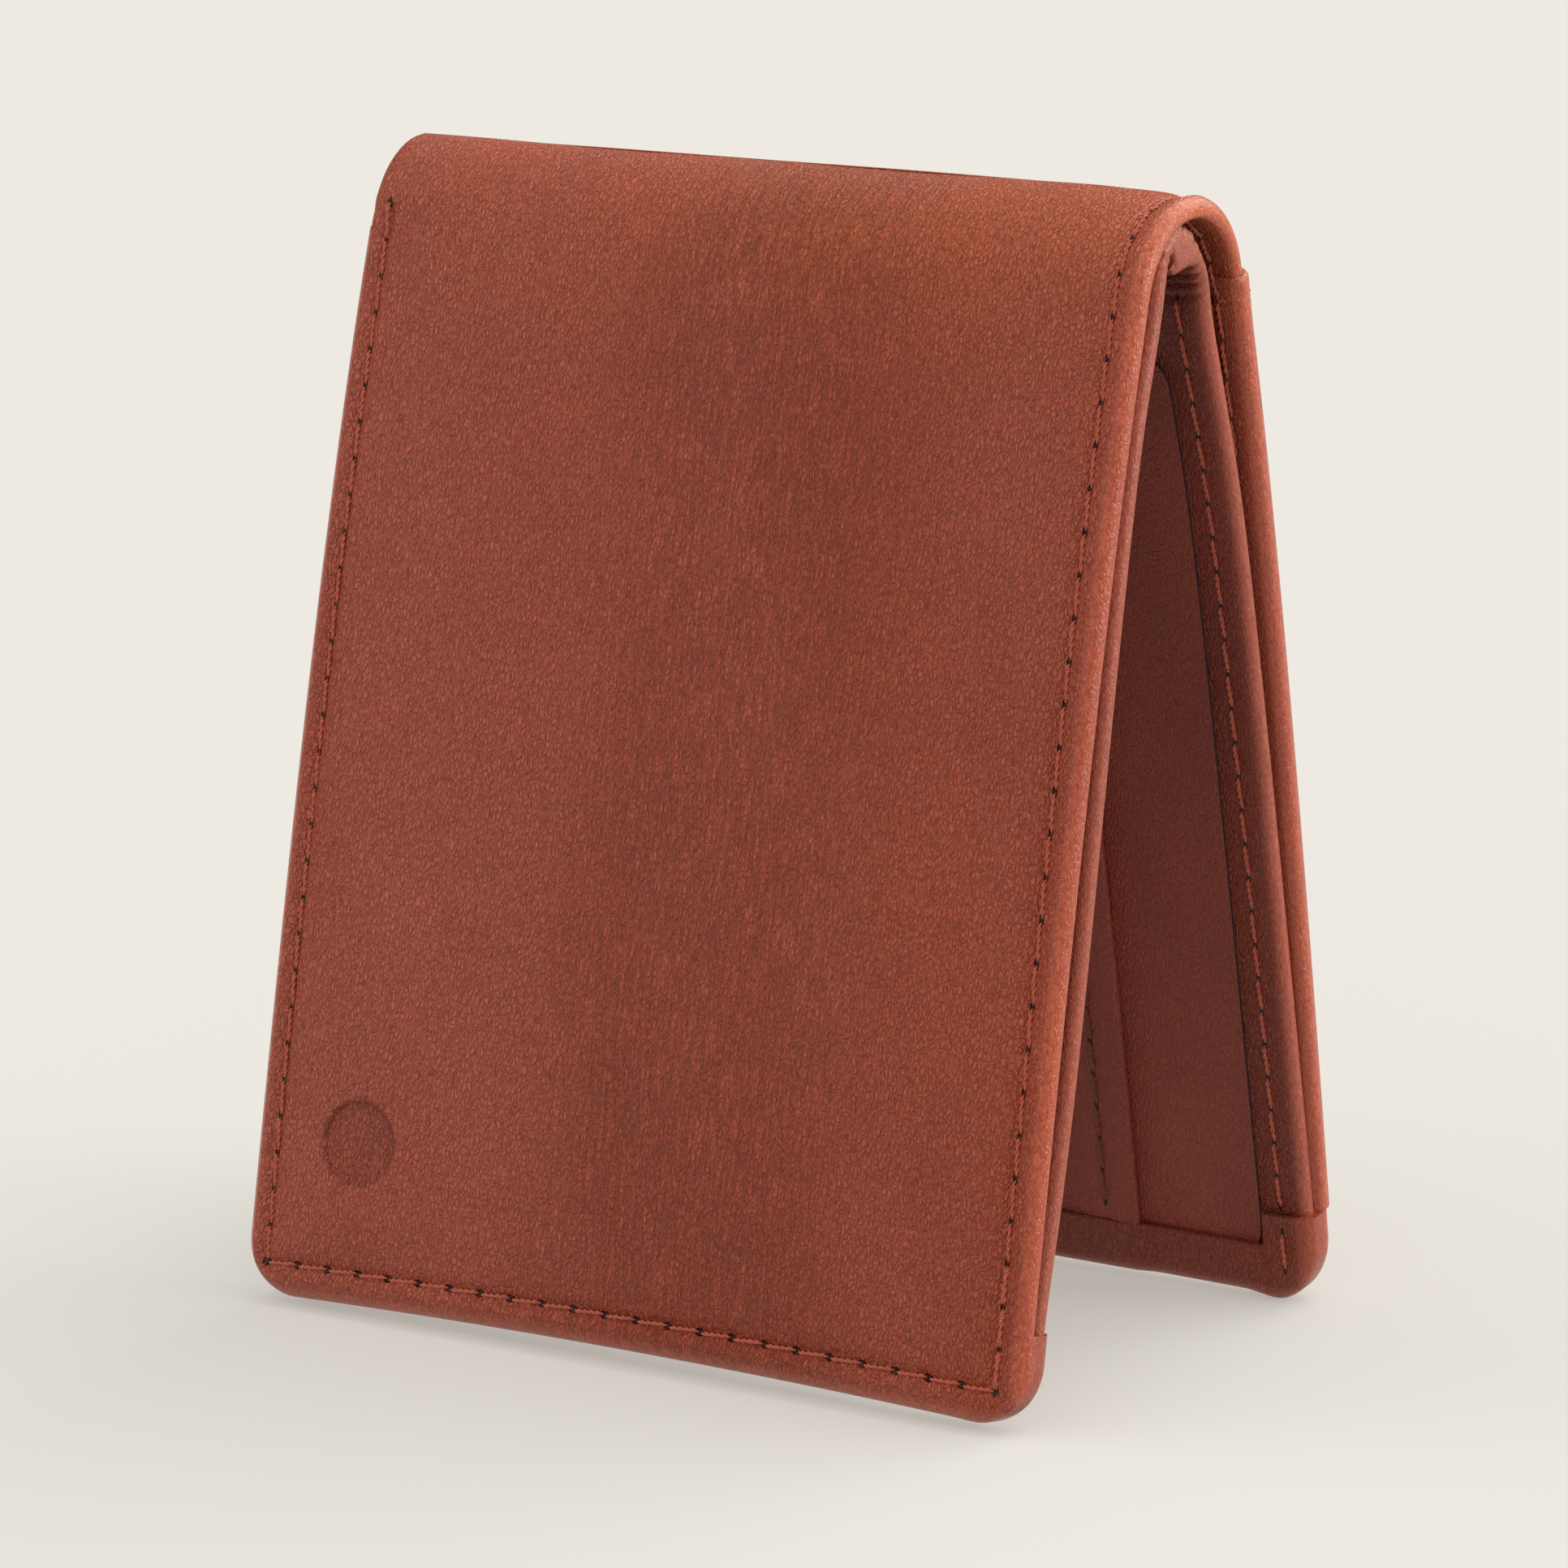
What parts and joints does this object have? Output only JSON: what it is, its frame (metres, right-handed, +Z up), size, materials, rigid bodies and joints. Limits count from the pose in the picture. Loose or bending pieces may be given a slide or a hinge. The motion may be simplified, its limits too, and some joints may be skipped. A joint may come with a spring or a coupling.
{
  "type": "bifold wallet",
  "caption": "Bifold leather wallet standing open like a tent, with a full-length bill compartment, stepped card pockets and a hinged fold.",
  "frame": {"origin": "on the floor, in the middle of the wallet's outline as it stands like a tent", "axes": "+Z up, +X along the fold towards the open mouth of the bill compartment, -Y the front cover's outer face"},
  "size_m": [0.09, 0.0622, 0.1126],
  "materials": {
    "cover_leather": "smooth, satin",
    "inner_leather": "smooth, satin",
    "pocket_leather": "smooth, satin",
    "pocket_base_leather": "smooth, painted edge",
    "lining": "thin, matte",
    "thread": "waxed"
  },
  "bodies": {
    "spine": {"spine_cover": "cover_leather", "spine_lining": "lining", "spine_inner_lining": "lining", "spine_inner_panel": "inner_leather", "spine_thread": "thread"},
    "front_half": {"front_cover": "cover_leather", "front_cover_lining": "lining", "front_inner_panel": "inner_leather", "front_inner_lining": "lining", "front_pocket_base": "pocket_base_leather", "front_card_pocket_1": "pocket_leather", "front_card_pocket_2": "pocket_leather", "front_card_pocket_3": "pocket_leather", "front_edge_thread": "thread", "front_inner_thread": "thread", "front_pocket_thread": "thread"},
    "back_half": {"back_cover": "cover_leather", "back_cover_lining": "lining", "back_inner_panel": "inner_leather", "back_inner_lining": "lining", "back_pocket_base": "pocket_base_leather", "back_card_pocket_1": "pocket_leather", "back_card_pocket_2": "pocket_leather", "back_card_pocket_3": "pocket_leather", "back_edge_thread": "thread", "back_inner_thread": "thread", "back_pocket_thread": "thread", "back_slip_pocket": "cover_leather", "back_slip_thread": "thread"}
  },
  "joints": [
    {"name": "front_fold", "type": "hinge", "parent": "spine", "child": "front_half", "pos_m": [0, -0.00604, 0.10888], "axis": [-1, 0, 0], "range_deg": [-12, 78.5]},
    {"name": "back_fold", "type": "hinge", "parent": "spine", "child": "back_half", "pos_m": [0, 0.00504, 0.10888], "axis": [1, 0, 0], "range_deg": [-12, 78.5]}
  ],
  "couplings": [
    {"joint": "back_fold", "follows": "front_fold", "ratio": 1}
  ]
}
